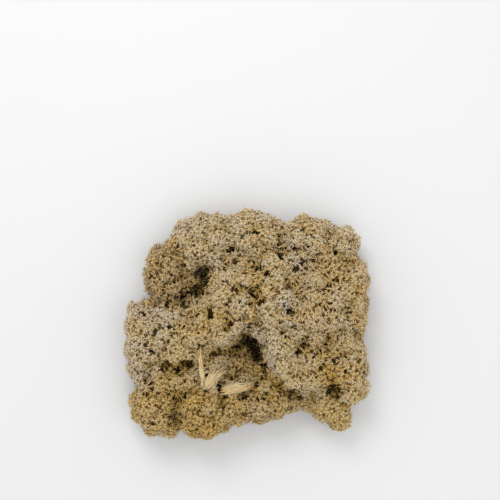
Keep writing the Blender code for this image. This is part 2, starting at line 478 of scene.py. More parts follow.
@dataclass
class Strands:
    """Tubes swept along lines that have the same number of points.

    The point at angle a of a ring is C + r (cos a U + sin a V). C is the line's point, U is square to
    the line's direction there and to a fixed axis, and V is square to both. The last point of a
    pointed tube is its tip.
    """

    line: Array
    radius: Array
    age: Array
    tone: Array
    sides: int
    pointed: bool
    steep: ClassVar[float] = 0.75  # the fixed axis is X for tubes that rise more, and else Z
    turned: ClassVar[float] = 0.4  # radians by which the map's shift leads the ring

    @classmethod
    def curved(
        cls,
        ends: tuple[Array, Array, Array],
        radius: tuple[Array, Array],
        age: tuple[Array, Array],
        tone: Array,
        rings: Rings,
        sides: int,
        pointed: bool,
    ) -> "Strands":
        """Tubes along quadratic curves: (1 - t)^2 a + 2 t (1 - t) b + t^2 c.

        Args:
            ends: rows of the curves' starts a, bends b and ends c.
            radius: radii at the start and the end; between them they change evenly.
            age: ages at the start and the end.
            tone: one tone for each tube.
            rings: the values of t that get a ring.
            sides: corners of a ring.
            pointed: whether the tubes end in a point.

        Returns:
            The tubes.
        """
        t = np.array(rings.value)[None, :]
        start, bend, end = (row[:, None] for row in ends)
        bow = t[:, :, None]
        line = (1 - bow) ** 2 * start + 2 * bow * (1 - bow) * bend + bow**2 * end
        thick = radius[0][:, None] * (1 - t) + radius[1][:, None] * t
        old = age[0][:, None] * (1 - t) + age[1][:, None] * t
        return cls(line, thick, old, tone, sides, pointed)

    @property
    def levels(self) -> int:
        """How many rings each tube has."""
        return self.line.shape[1] - self.pointed

    def part(self, rows: Array) -> "Strands":
        """Some of the tubes."""
        return Strands(
            self.line[rows], self.radius[rows], self.age[rows], self.tone[rows], self.sides, self.pointed
        )

    def corners(self) -> tuple[Array, Array, Array, Array]:
        """The tubes' corners, ring by ring, and then the tip.

        Returns:
            Places, ages, tones, and a small number that differs round a tube.
        """
        way = unit(np.gradient(self.line, axis=1))
        steep = np.abs(unit(self.line[:, -1] - self.line[:, 0])[:, 2]) > self.steep
        axis = np.where(steep[:, None], (1.0, 0.0, 0.0), (0.0, 0.0, 1.0))[:, None]
        across = unit(np.cross(way, axis))
        over = np.cross(way, across)
        angle = np.arange(self.sides) * (2 * math.pi / self.sides)
        ring = np.cos(angle)[:, None] * across[:, :, None] + np.sin(angle)[:, None] * over[:, :, None]
        places = self.line[:, :, None] + self.radius[:, :, None, None] * ring
        ages = np.repeat(self.age[:, :, None], self.sides, axis=2)
        swing = np.broadcast_to(np.sin(angle + self.turned), ages.shape)
        count = len(self.line)
        places = places.reshape(count, -1, 3)
        ages, swing = ages.reshape(count, -1), swing.reshape(count, -1)
        if self.pointed:
            kept = self.levels * self.sides + 1
            places, ages, swing = places[:, :kept].copy(), ages[:, :kept], swing[:, :kept]
            places[:, -1] = self.line[:, -1]
        tones = np.repeat(self.tone[:, None], places.shape[1], axis=1)
        return places, ages, tones, swing

    def loops(self) -> list[Array]:
        """The tubes' faces: squares between rings, a cap on the start, and a cap or a tip.

        Returns:
            Tables of corner numbers, one for each kind of face.
        """
        ring = np.arange(self.sides)
        after = (ring + 1) % self.sides
        level = np.arange(self.levels - 1)[:, None] * self.sides
        squares = np.stack(
            [level + ring, level + after, level + self.sides + after, level + self.sides + ring], -1
        ).reshape(-1, 4)
        last = (self.levels - 1) * self.sides
        if self.pointed:
            tip = np.full(self.sides, last + self.sides)
            closing = [ring[None, ::-1], np.stack([last + ring, last + after, tip], 1)]
        else:
            closing = [np.stack([ring[::-1], last + ring])]
        stride = self.levels * self.sides + self.pointed
        first = np.arange(len(self.line))[:, None, None] * stride
        return [(first + table).reshape(-1, table.shape[1]) for table in [squares, *closing]]


@dataclass(frozen=True)
class Chart:
    """The map for baking, which puts places with like colours together.

    A corner lies at its tone across and its age up, with a small shift round its tube.
    """

    margin: float = 0.02
    swing: float = 0.006

    def places(self, ages: Array, tones: Array, swing: Array) -> Array:
        """Rows of places on the map for corners with these ages, tones and shifts."""
        size = 1 - 2 * self.margin
        across = self.margin + size * np.clip(tones, 0, 1) + self.swing * swing
        return np.stack([across, self.margin + size * np.clip(ages, 0, 1)], 1)


def joined_mesh(name: str, groups: list[Strands]) -> bpy.types.Mesh:
    """One mesh of all tubes, with their age and tone, and a map for baking.

    Args:
        name: the mesh's name.
        groups: the tubes.

    Returns:
        The mesh.
    """
    tables, loops, sizes, first = [], [], [], 0
    for group in groups:
        corners = group.corners()
        tables.append([corners[0].reshape(-1, 3), *(table.ravel() for table in corners[1:])])
        for table in group.loops():
            loops.append((table + first).ravel())
            sizes.append(np.full(len(table), table.shape[1]))
        first += len(tables[-1][0])
    places, ages, tones, swing = (np.concatenate(table) for table in zip(*tables))
    loops, sizes = np.concatenate(loops), np.concatenate(sizes)
    mesh = bpy.data.meshes.new(name)
    mesh.vertices.add(len(places))
    mesh.vertices.foreach_set("co", places.astype(np.float32).ravel())
    mesh.loops.add(len(loops))
    mesh.loops.foreach_set("vertex_index", loops.astype(np.int32))
    mesh.polygons.add(len(sizes))
    mesh.polygons.foreach_set("loop_start", (np.cumsum(sizes) - sizes).astype(np.int32))
    mesh.update(calc_edges=True)
    for attribute, values in ((AGE_AND_SHADE, ages), (TONE, tones)):
        layer = mesh.attributes.new(attribute, "FLOAT", "POINT")
        layer.data.foreach_set("value", values.astype(np.float32))
    chart = Chart().places(ages, tones, swing)
    bake_map = mesh.uv_layers.new(name=BAKE_MAP)
    bake_map.uv.foreach_set("vector", chart[loops].astype(np.float32).ravel())
    mesh.shade_smooth()
    return mesh


@dataclass(frozen=True)
class MossFinish:
    """The finish of dried lichen: matte, with pale tips, that browns towards the old stems, and near
    black as painted shadow deep in hollows.
    """

    name: str
    tip: Colour
    skin: Colour
    under: Colour
    old: Colour
    # Painted shadow: the near black that branches deep in hollows get.
    hollow_shadow: Colour = (0.03, 0.018, 0.006)
    ages: tuple[float, ...] = (0.0, 0.16, 0.45, 0.8, 1.0)  # at which a branch has these five colours
    cool: Colour = (0.97, 1.05, 1.35)  # tints of tone 0
    warm: Colour = (1.0, 0.96, 0.78)  # and tone 1
    dark: Colour = (0.9, 0.893, 0.88)  # tints of the mottling
    light: Colour = (1.08, 1.08, 1.08)
    mottles: float = 330.0  # to the metre, about
    ripples: float = 2400.0
    ripple_height: float = 0.15 * MM
    ripple_strength: float = 0.4
    roughness: tuple[float, float] = (0.8, 0.97)
    shine: float = 0.15
    glow: float = 0.4  # how much of the light enters a branch
    glow_depth: float = 0.8 * MM
    glow_reach: Colour = (1.0, 0.6, 0.35)  # of red, green and blue light, as shares of that depth

    def material(self) -> bpy.types.Material:
        """The finish as a node material, made once for each finish."""
        name = self.name + "_branches"
        material = bpy.data.materials.get(name)
        if not material:
            material = bpy.data.materials.new(name)
            material.use_nodes = True
            tree = material.node_tree
            shader = tree.nodes["Principled BSDF"]
            place = tree.nodes.new("ShaderNodeTexCoord").outputs["Object"]
            mottle = self.noise(tree, place, self.mottles, 3.0)
            tree.links.new(self.colour(tree, mottle), shader.inputs["Base Color"])
            self.surface(tree, shader, place, mottle)
        return material

    def colour(self, tree: bpy.types.NodeTree, mottle: Socket) -> Socket:
        """The branches' colour.

        The age, raised by painted shade in hollows and grooves, picks it on a ramp, the tone tints it
        from cool to warm, and the noise mottles it.

        Args:
            tree: the material's nodes.
            mottle: the noise.

        Returns:
            The colour's socket.
        """
        ramp = tree.nodes.new("ShaderNodeValToRGB")
        stops = ramp.color_ramp.elements
        stops.remove(stops[1])
        colours = (self.tip, self.skin, self.under, self.old, self.hollow_shadow)
        for number, (age, colour) in enumerate(zip(self.ages, colours)):
            stop = stops.new(age) if number else stops[0]
            stop.position, stop.color = age, (*colour, 1)
        tree.links.new(self.reading(tree, AGE_AND_SHADE), ramp.inputs["Fac"])
        tint = self.blend(tree, "MIX", self.cool, self.warm, self.reading(tree, TONE))
        depth = self.blend(tree, "MIX", self.dark, self.light, mottle)
        tinted = self.blend(tree, "MULTIPLY", ramp.outputs["Color"], tint, 1.0)
        return self.blend(tree, "MULTIPLY", tinted, depth, 1.0)

    def surface(
        self, tree: bpy.types.NodeTree, shader: bpy.types.Node, place: Socket, mottle: Socket
    ) -> None:
        """Makes the branches dull and finely rippled, and lets a little light through them.

        Args:
            tree: the material's nodes.
            shader: the node that it is set on.
            place: the places that the ripples read.
            mottle: the noise that the roughness follows.
        """
        shader.inputs["Specular IOR Level"].default_value = self.shine
        shader.inputs["Subsurface Weight"].default_value = self.glow
        shader.inputs["Subsurface Radius"].default_value = self.glow_reach
        shader.inputs["Subsurface Scale"].default_value = self.glow_depth
        rough = tree.nodes.new("ShaderNodeMapRange")
        rough.inputs["To Min"].default_value, rough.inputs["To Max"].default_value = self.roughness
        tree.links.new(mottle, rough.inputs["Value"])
        tree.links.new(rough.outputs["Result"], shader.inputs["Roughness"])
        bump = tree.nodes.new("ShaderNodeBump")
        bump.inputs["Strength"].default_value = self.ripple_strength
        bump.inputs["Distance"].default_value = self.ripple_height
        tree.links.new(self.noise(tree, place, self.ripples, 2.0), bump.inputs["Height"])
        tree.links.new(bump.outputs["Normal"], shader.inputs["Normal"])

    @staticmethod
    def reading(tree: bpy.types.NodeTree, attribute: str) -> Socket:
        """The socket that gives a mesh attribute."""
        node = tree.nodes.new("ShaderNodeAttribute")
        node.attribute_name = attribute
        return node.outputs["Fac"]

    @staticmethod
    def noise(tree: bpy.types.NodeTree, place: Socket, scale: float, detail: float) -> Socket:
        """The socket of a noise texture on the piece's own places.

        Args:
            tree: the material's nodes.
            place: the places' socket.
            scale: how fine the noise is.
            detail: how many finer layers it has.

        Returns:
            The noise's socket.
        """
        node = tree.nodes.new("ShaderNodeTexNoise")
        node.inputs["Scale"].default_value = scale
        node.inputs["Detail"].default_value = detail
        tree.links.new(place, node.inputs["Vector"])
        return node.outputs["Fac"]

    @staticmethod
    def blend(
        tree: bpy.types.NodeTree,
        kind: str,
        one: Socket | Colour,
        other: Socket | Colour,
        share: Socket | float,
    ) -> Socket:
        """Mixes two colours, each a socket or a value.

        Args:
            tree: the material's nodes.
            kind: how they are mixed.
            one: the first colour.
            other: the second colour.
            share: how much of the second.

        Returns:
            The mixed colour's socket.
        """
        node = tree.nodes.new("ShaderNodeMix")
        node.data_type = "RGBA"
        node.blend_type = kind
        for socket, value in ((node.inputs[0], share), (node.inputs[6], one), (node.inputs[7], other)):
            if isinstance(value, Socket):
                tree.links.new(value, socket)
            else:
                socket.default_value = value if isinstance(value, float) else (*value, 1)
        return node.outputs[2]


class Finish(Enum):
    """The finishes that tufts have. Their colours are linear."""

    TAN = MossFinish(
        name="tan_moss",
        tip=(0.605, 0.495, 0.31),
        skin=(0.545, 0.41, 0.225),
        under=(0.56, 0.365, 0.12),
        old=(0.4, 0.25, 0.075),
    )
    GOLDEN = MossFinish(
        name="golden_moss",
        tip=(0.6, 0.485, 0.295),
        skin=(0.53, 0.395, 0.21),
        under=(0.53, 0.345, 0.105),
        old=(0.385, 0.24, 0.062),
    )
    GREY = MossFinish(
        name="grey_brown_moss",
        tip=(0.56, 0.455, 0.28),
        skin=(0.49, 0.365, 0.195),
        under=(0.49, 0.31, 0.1),
        old=(0.3, 0.18, 0.05),
    )
    PALE = MossFinish(
        name="pale_stems",
        tip=(0.475, 0.375, 0.205),
        skin=(0.48, 0.36, 0.195),
        under=(0.52, 0.34, 0.115),
        old=(0.39, 0.25, 0.075),
    )


class Grain(Enum):
    """How far apart a tuft's outermost forks are."""

    FINE = 2.35 * MM
    MEDIUM = 2.55 * MM
    COARSE = 2.85 * MM


@dataclass(frozen=True)
class Level:
    """How forks join at one depth under the skin, and what the strands between them are like."""

    reach: float = 4.4 * MM  # the least distance between two chosen forks
    step: float = 1.7 * MM  # how far in their joints lie
    lean: float = 0.1  # how strongly they turn towards the tuft's foot
    radius: float = 0.67 * MM  # of the strands that leave the joints
    wander: float = 0.1  # a random push on the way in, as a share of the step
    held_back: float = 0.4  # what is left of a way in that would pass the crown
    lowest: float = 1.6 * MM  # joints stay this far above the floor
    fading: float = 20 * MM  # the way in over which a branch grows old
    old: float = 0.8  # the age at which that ends
    wider: float = 1.5  # how much the reach, the step and the radius grow from level to level
    longer: float = 1.6
    thicker: float = 1.26
    more_lean: float = 0.3

    def further_in(self) -> "Level":
        """The next level, where joints are fewer and strands longer and thicker."""
        return replace(
            self,
            reach=self.reach * self.wider,
            step=self.step * self.longer,
            lean=self.lean + self.more_lean,
            radius=self.radius * self.thicker,
        )


@dataclass
class Forks:
    """Places where branches fork, the way that each faces, its age with painted shade in it, its tone
    and its tuft's number.
    """

    place: Array
    facing: Array
    age: Array
    tone: Array
    owner: Array

    def __len__(self) -> int:
        """How many forks there are."""
        return len(self.place)

    def gathered(
        self, crown: "Forks", level: Level, roots: Array, rng: Random
    ) -> tuple["Forks", Array]:
        """Joins each tuft's forks into fewer ones further in.

        Forks within a reach of a chosen one become its children. The joint lies a step away from
        their middle, against the way they face and a little towards the tuft's root. While they are
        chosen, the tufts are held a kilometre apart, so that they don't mix.

        Args:
            crown: the outermost forks, which no joint passes.
            level: how they join.
            roots: the foot of each tuft.
            rng: where chance comes from.

        Returns:
            The joints, and the number of each fork's joint.
        """
        apart = self.place + self.owner[:, None] * np.array((0.0, 0.0, FAR))
        chosen = spaced(apart, level.reach, rng)
        joint_of = nearest_few(apart, apart[chosen], 1, level.reach * HAIR)[0][:, 0]
        total = np.bincount(joint_of, minlength=len(chosen))[:, None]
        middle, facing = (
            np.stack([np.bincount(joint_of, column, len(chosen)) for column in table.T], 1) / total
            for table in (self.place, self.facing)
        )
        age, tone = (
            np.bincount(joint_of, values, len(chosen)) / total[:, 0] for values in (self.age, self.tone)
        )
        owner = self.owner[chosen]
        inward = unit(-unit(facing) + level.lean * unit(roots[owner] - middle))
        way = level.step * (inward + rng.normal(0, level.wander, middle.shape))
        for _ in range(3):
            way[passed(middle + way, crown)] *= level.held_back
        place = middle + way
        place[:, 2] = np.maximum(place[:, 2], level.lowest)
        age = np.minimum(age + level.step / level.fading, np.maximum(age, level.old))
        return Forks(place, -inward, age, tone, owner), joint_of


def passed(places: Array, crown: Forks, reach: float = 14 * MM, slack: float = 0.3 * MM) -> Array:
    """Whether each place lies outside the crown.

    It does if it lies beyond two of its three nearest forks, or higher than each of the four upper
    forks that are nearest in plan.

    Args:
        places: rows of places.
        crown: the outermost forks.
        reach: forks further away don't count.
        slack: how deep under a fork a place still counts as beyond it.

    Returns:
        One truth value for each place.
    """
    near = nearest_few(places, crown.place, 3, reach)[0]
    beyond = ((places[:, None] - crown.place[near]) * crown.facing[near]).sum(-1) > -slack
    upper = crown.place[crown.facing[:, 2] > 0]
    round_it = nearest_few(places * (1, 1, 0), upper * (1, 1, 0), 4, reach)[0]
    over = places[:, 2] > np.where(round_it < 0, 0, upper[round_it, 2]).max(1)
    return ((beyond & (near >= 0)).sum(1) > 1) | over


@dataclass(frozen=True)
class Habit:
    """Sizes of the branches, and how they grow.

    A random value has its least and its most, or its mean and its spread where a comment says so. A
    tangle is how strongly a random push turns a way, as a share of its length.
    """

    arms: int = 6
    arm: float = 0.49 * MM  # radius where an arm leaves its fork
    arm_girth: tuple[float, float] = (0.82, 1.18)
    arm_length: tuple[float, float] = (0.75, 1.05)  # as shares of the room that the fork has
    arm_turn: float = 0.3  # how far an arm strays round its fork, as a share of the room between two
    arm_slope: tuple[float, float] = (60.0, 12.0)  # degrees from the fork's facing: mean and spread
    arm_tangle: float = 0.12
    bend_way: tuple[float, float] = (0.95, 0.6)  # how much an arm's bend goes outwards and sideways
    bend_tangle: float = 0.2
    tone_swing: float = 0.05
    taper: float = 0.5  # a tip's radius, as a share of that where the arm leaves
    fresh: tuple[float, float] = (0.1, 0.6)  # a tip's age, as a share of its fork's
    pronged: float = 0.6  # the share of arms that have a prong at each of the two places
    prong_places: tuple[float, float] = (0.42, 0.7)
    prong_length: tuple[float, float] = (0.34, 0.55)
    prong_girth: float = 0.75
    prong_way: tuple[float, float, float] = (0.55, 0.8, 0.25)  # ahead, to its side and outwards
    prong_tangle: float = 0.25
    under_thick: float = 2.3  # how much thicker and longer the arms are on the underside
    under_long: float = 1.5
    under_arms: int = 4
    bow: float = 0.22  # how far the strands between joints bow, as a share of their length
    strand_taper: tuple[float, float] = (1.15, 0.85)  # of the radius, at its two ends
    side_taper: tuple[float, float] = (1.15, 0.75)
    side_girth: tuple[float, float] = (0.9, 1.3)
    side_tangle: float = 0.14
    side_bow: float = 1.2 * MM  # the most that a side arm bows outwards
    side_ageing: float = 1.5  # the power of the fork's age that a side arm's tip has
    neighbours: int = 8  # how many forks a linking arm may choose from
    linked: float = 0.75  # how much of the way to the next fork a linking arm goes
    linked_girth: float = 1.05
    free_arms: int = 5
    free_girth: float = 1.2
    free_length: tuple[float, float] = (0.7, 1.15)
    free_longest: float = 7.0 * MM
    free_rise: float = 0.3  # how much they turn outwards

    def stars(self, forks: Forks, room: Array, rng: Random) -> list[tuple[Strands, Array]]:
        """Each fork's star of arms, and the prongs on them.

        An arm leaves its fork at a share of the full turn round the fork's facing, mostly outwards,
        and bends over towards the skin. Its prongs leave from two places on it, one to either side.

        Args:
            forks: the outermost forks.
            room: how far apart they are there.
            rng: where chance comes from.

        Returns:
            Groups of strands, each with the number of the fork that a strand grows on.
        """
        total = len(forks)
        star = np.repeat(np.arange(total), self.arms)
        under = forks.facing[:, 2] < UNDER
        number = np.tile(np.arange(self.arms), total)
        across = unit(np.cross(forks.facing, unit(rng.normal(size=(total, 3)))))
        kept = ~under[star] | (number >= self.arms - self.under_arms)
        star, number = star[kept], number[kept]
        under, count = under[star], len(star)
        out, across = forks.facing[star], across[star]
        turn = 2 * math.pi * (number + rng.uniform(-self.arm_turn, self.arm_turn, count)) / self.arms
        sideways = np.cos(turn)[:, None] * across + np.sin(turn)[:, None] * np.cross(out, across)
        length = room[star] * np.where(under, self.under_long, 1) * rng.uniform(*self.arm_length, count)
        length = length[:, None]
        slope = np.radians(rng.normal(*self.arm_slope, count))[:, None]
        start = forks.place[star]
        push = rng.normal(0, self.bend_tangle, out.shape)
        bend_way = unit(out * self.bend_way[0] + self.bend_way[1] * sideways) + push
        bend = start + 0.5 * length * bend_way
        way = np.cos(slope) * out + np.sin(slope) * sideways
        end = start + length * unit(way + rng.normal(0, self.arm_tangle, way.shape))
        size = self.arm * np.where(under, self.under_thick, 1) * rng.uniform(*self.arm_girth, count)
        tone = np.clip(forks.tone[star] + rng.normal(0, self.tone_swing, count), 0, 1)
        old = forks.age[star]
        fresh = old * np.maximum(rng.uniform(*self.fresh, count), old**3)
        radii, ages = (size, size * self.taper), (old * 1.1, fresh)
        arms = Strands.curved(lifted(start, bend, end), radii, ages, tone, Rings.BENT, 3, True)
        groups = [(arms, star)]
        hand = rng.choice((-1.0, 1.0), count)
        for share, side in zip(self.prong_places, (hand, -hand)):
            grown = rng.random(count) < self.pronged * ~under
            base = (1 - share) ** 2 * start + 2 * share * (1 - share) * bend + share**2 * end
            run = unit((1 - share) * (bend - start) + share * (end - bend))
            aside = unit(np.cross(run, out)) * side[:, None]
            push = rng.normal(0, self.prong_tangle, run.shape)
            ahead, beside, outwards = self.prong_way
            way = unit(ahead * run + beside * aside + outwards * out + push)
            point = base + way * length * rng.uniform(*self.prong_length, (count, 1))
            girth = size * (1 - self.taper * share) * self.prong_girth
            radii, ages = (girth, girth * self.taper), (fresh + 0.04, fresh * 0.5)
            line = lifted(base, (base + point) / 2, point)
            prongs = Strands.curved(line, radii, ages, tone, Rings.STRAIGHT, 3, True)
            groups.append((prongs.part(grown), star[grown]))
        return groups

    def joined(self, inner: Forks, joint_of: Array, outer: Forks, radius: float, sides: int) -> Strands:
        """Strands from joints to the forks that they carry.

        A strand leaves its joint the way the joint faces, and reaches the fork the way that faces.

        Args:
            inner: the joints.
            joint_of: the number of each fork's joint.
            outer: the forks.
            radius: the strands' middle radius.
            sides: corners of a ring. Strands with more than three also get more rings.

        Returns:
            One strand for each fork.
        """
        start, end = inner.place[joint_of], outer.place
        length = np.linalg.norm(end - start, axis=1, keepdims=True)
        bend = (start + end) / 2 + (inner.facing[joint_of] - outer.facing) * length * self.bow
        size = np.full(len(outer), radius)
        radii = tuple(size * share for share in self.strand_taper)
        ages = (inner.age[joint_of], outer.age)
        rings = Rings.BENT if sides == 3 else Rings.SMOOTH
        return Strands.curved(lifted(start, bend, end), radii, ages, outer.tone, rings, sides, False)

    def side_arms(
        self, forks: Forks, crown: Forks, level: Level, rng: Random
    ) -> list[tuple[Strands, Array]]:
        """Side branches under the skin: some reach for the next fork and some any way.

        They cross from tuft to tuft, and between them nothing is seen of what lies under the clump.

        Args:
            forks: the forks that throw them.
            crown: the outermost forks, which no arm passes.
            level: how the forks' own strands are there.
            rng: where chance comes from.

        Returns:
            Groups of arms, each with the number of the fork that an arm grows on.
        """
        link, other = open_links(forks.place, self.neighbours, level.reach * 2)
        gap = (forks.place[other] - forks.place[link]) * self.linked
        free = np.repeat(np.arange(len(forks)), self.free_arms)
        out = forks.facing[free]
        way = unit(rng.normal(size=out.shape))
        way = unit(way - (way * out).sum(1, keepdims=True) * out)
        longest = min(level.reach, self.free_longest)
        loose = (way + self.free_rise * out) * longest * rng.uniform(*self.free_length, (len(free), 1))
        groups = []
        for row, run, girth, rings in (
            (link, gap, self.linked_girth, Rings.BENT),
            (free, loose, self.free_girth, Rings.STRAIGHT),
        ):
            start = forks.place[row]
            push = rng.normal(0, self.side_tangle, run.shape)
            end = start + run + push * np.linalg.norm(run, axis=1, keepdims=True)
            kept = ~passed(end, crown)
            row, start, end = row[kept], start[kept], end[kept]
            length = np.linalg.norm(end - start, axis=1, keepdims=True)
            rise = np.minimum(length * 0.25, self.side_bow)
            bend = start + (end - start) * 0.4 + forks.facing[row] * rise
            size = level.radius * rng.uniform(*self.side_girth, len(row)) * girth
            radii = tuple(size * share for share in self.side_taper)
            ages = (forks.age[row], forks.age[row] ** self.side_ageing)
            line = lifted(start, bend, end)
            groups.append((Strands.curved(line, radii, ages, forks.tone[row], rings, 3, True), row))
        return groups


def lifted(*tables: Array) -> tuple[Array, ...]:
    """Rows of places, with those below the lowest height of a strand raised to it."""
    return tuple(np.concatenate([table[:, :2], np.maximum(table[:, 2:], LOWEST)], 1) for table in tables)


@dataclass(frozen=True)
class Tuft:
    """One tuft: a node of the model, its grain and finish, and its tone and shade from 0 to 1."""

    node: str
    grain: Grain
    finish: Finish
    tone: float
    shade: float = 0.0
    foot: ClassVar[float] = 3 * MM  # above the floor

    @property
    def root(self) -> Array:
        """The foot of the tuft's old stems."""
        low, high = (np.array(corner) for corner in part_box(self.node))
        return np.array(((low[0] + high[0]) / 2, (low[1] + high[1]) / 2, self.foot))


@dataclass(frozen=True)
class BareStems:
    """A fan of thick pale stems that lie open on a tuft.

    It has the pixels along it, the number of stems, half the fan's width where it starts and where it
    ends, and the stems' radius where they start.
    """

    pixels: tuple[tuple[float, float], ...]
    stems: int
    spread: tuple[float, float]
    radius: float
    owner: int = 13
    points: int = 14
    averaged: int = 8  # corners of the skin that give the fan's height, and how far off they may be
    found_within: float = 12 * MM
    ragged: float = 0.36  # the most that a stem starts late or ends early, as a share of the fan
    sunk: float = 1.4 * MM
    dip: float = 3.2 * MM  # how much deeper the ends lie
    sway: tuple[float, float] = (0.8 * MM, 7.0)  # height of the waves sideways, and their radians
    heave: tuple[float, float] = (0.4 * MM, 6.0)  # and of those up and down
    wear: tuple[float, float] = (0.12, 23.0)  # and of those in the radius, as shares of it
    fine_wear: tuple[float, float] = (0.08, 41.0)
    stray: float = 0.5 * MM  # sideways, towards the two ends
    crown: float = 0.5 * MM  # how much deeper the outer stems lie
    thinning: tuple[float, float] = (1.1, 0.6)  # shares of the radius where a stem starts and ends
    pinch: tuple[float, float] = (0.8, 2.5)  # how much thinner its ends are, and how suddenly
    fresh: float = 0.07  # a stem's age in its middle
    browning: float = 0.3  # how much older its ends are
    mottling: tuple[float, float] = (0.06, 9.0)  # height of the waves in its age, and their radians
    age_swing: float = 0.2
    tones: tuple[float, float] = (0.35, 0.7)
    branch_way: tuple[float, float] = (0.6, 0.9)  # how much a branch goes ahead and to its side
    branch_tangle: float = 0.25
    branch_length: tuple[float, float] = (2.2, 4.5)  # in millimetres
    branch_drop: float = 0.6 * MM
    branch_taper: tuple[float, float] = (0.6, 0.25)  # shares of the stem's radius at its two ends
    branch_ages: tuple[float, float] = (0.08, 0.16)
    branch_tones: tuple[float, float] = (0.3, 0.8)
    bare_length: float = 0.7  # of the fan: its middle share, on which no forks grow
    bare_share: float = 0.86  # how near its line that ground begins, as a patch's share
    bare_above: float = 25 * MM

    def bare(self, places: Array) -> Array:
        """Which places lie so near the fan that no forks grow there."""
        pixels = np.array(self.pixels)
        inner = pixels.mean(0) + self.bare_length * (pixels - pixels.mean(0))
        line = Patch(inner, sum(self.spread) / 2 + self.radius * 0.5)
        return (line.share(places) > self.bare_share) & (places[:, 2] > self.bare_above)

    def course(self, skin: Skin) -> list[np.polynomial.Polynomial]:
        """The fan's middle line on the skin: one curve for each axis, of degree two at most.

        Args:
            skin: what the stems lie on.

        Returns:
            The curves, which run from 0 to 1.
        """
        knots = PHOTO.places(self.pixels)
        upper = skin.corners[skin.normals()[:, 2] > 0.2]
        flat = np.pad(knots, ((0, 0), (0, 1)))
        near, _ = nearest_few(flat, upper * (1, 1, 0), self.averaged, self.found_within)
        knots = np.column_stack([knots, upper[near, 2].mean(1) - self.sunk])
        along = np.linspace(0, 1, len(knots))
        degree = min(len(knots) - 1, 2)
        return [np.polynomial.Polynomial.fit(along, column, degree) for column in knots.T]

    def grow(self, skin: Skin, rng: Random) -> list[Strands]:
        """The stems, and the broken side branches on them.

        A stem's line follows the fan's middle line, shifted aside by its share of the fan's width and
        by slow sine waves. Finer sine waves make its radius and its age uneven, and it grows thin and
        old towards both ends.

        Args:
            skin: what the stems lie on.
            rng: where chance comes from.

        Returns:
            The stems and the side branches.
        """
        curves = self.course(skin)
        start, end = rng.uniform(0, self.ragged, (2, self.stems, 1))
        end = 1 - end
        t = start + (end - start) * np.linspace(0, 1, self.points)
        middle = np.stack([curve(t) for curve in curves], -1)
        side = unit(np.cross(np.gradient(middle, axis=1), (0.0, 0.0, 1.0)))
        rank = (np.arange(self.stems) + rng.uniform(0.2, 0.8, self.stems)) / self.stems * 2 - 1
        rank = rank[:, None]
        offset = rank * (self.spread[0] * (1 - t) + self.spread[1] * t)
        offset += rng.normal(0, self.stray, (self.stems, 1)) * (t - 0.5)
        phase = rng.uniform(0, 2 * math.pi, (self.stems, 3))
        first, second, third = phase[:, :1], phase[:, 1:2], phase[:, 2:]
        sway = self.sway[0] * np.sin(t * self.sway[1] + first)
        from_middle = np.linspace(-1, 1, self.points)
        lift = self.heave[0] * np.sin(t * self.heave[1] + second) - self.crown * rank**2
        lift -= self.dip * from_middle**4
        line = middle + (offset + sway)[:, :, None] * side + lift[:, :, None] * (0.0, 0.0, 1.0)
        wear = 1 + self.wear[0] * np.sin(t * self.wear[1] + first)
        wear = wear + self.fine_wear[0] * np.sin(t * self.fine_wear[1] + second)
        ends = 1 - self.pinch[0] * np.abs(from_middle) ** self.pinch[1]
        radius = self.radius * wear * ends * np.linspace(*self.thinning, self.points)
        age = self.fresh + self.browning * (2 * t - 1) ** 2
        age = age + self.mottling[0] * np.sin(t * self.mottling[1] + third)
        age += rng.uniform(0, self.age_swing, (self.stems, 1))
        stems = Strands(line, radius, age, rng.uniform(*self.tones, self.stems), 7, True)
        return [stems, self.side_branches(line, radius, rng)]

    def side_branches(self, line: Array, radius: Array, rng: Random) -> Strands:
        """Thin branches that leave the stems to either side, one from every point but the ends.

        Args:
            line: the stems' lines.
            radius: the stems' radii.
            rng: where chance comes from.

        Returns:
            The branches.
        """
        run = unit(np.gradient(line, axis=1))[:, 1:-1].reshape(-1, 3)
        base = line[:, 1:-1].reshape(-1, 3)
        size = radius[:, 1:-1].ravel()
        count = len(base)
        aside = unit(np.cross(run, (0.0, 0.0, 1.0))) * rng.choice((-1.0, 1.0), (count, 1))
        ahead, beside = self.branch_way
        way = unit(ahead * run + beside * aside + rng.normal(0, self.branch_tangle, run.shape))
        length = rng.uniform(*self.branch_length, (count, 1)) * MM
        end = base + way * length - np.array((0, 0, self.branch_drop))
        bend = base + unit(run + 0.4 * aside) * length * 0.5
        radii = tuple(size * share for share in self.branch_taper)
        ages = tuple(np.full(count, age) for age in self.branch_ages)
        tones = rng.uniform(*self.branch_tones, count)
        return Strands.curved((base, bend, end), radii, ages, tones, Rings.SMOOTH, 5, True)


class Wave(Enum):
    """What the slow random waves over the clump change. Each has directions of its own."""

    SEAM = 1
    VALLEY = 2
    SWELL = 3
    TONE = 4


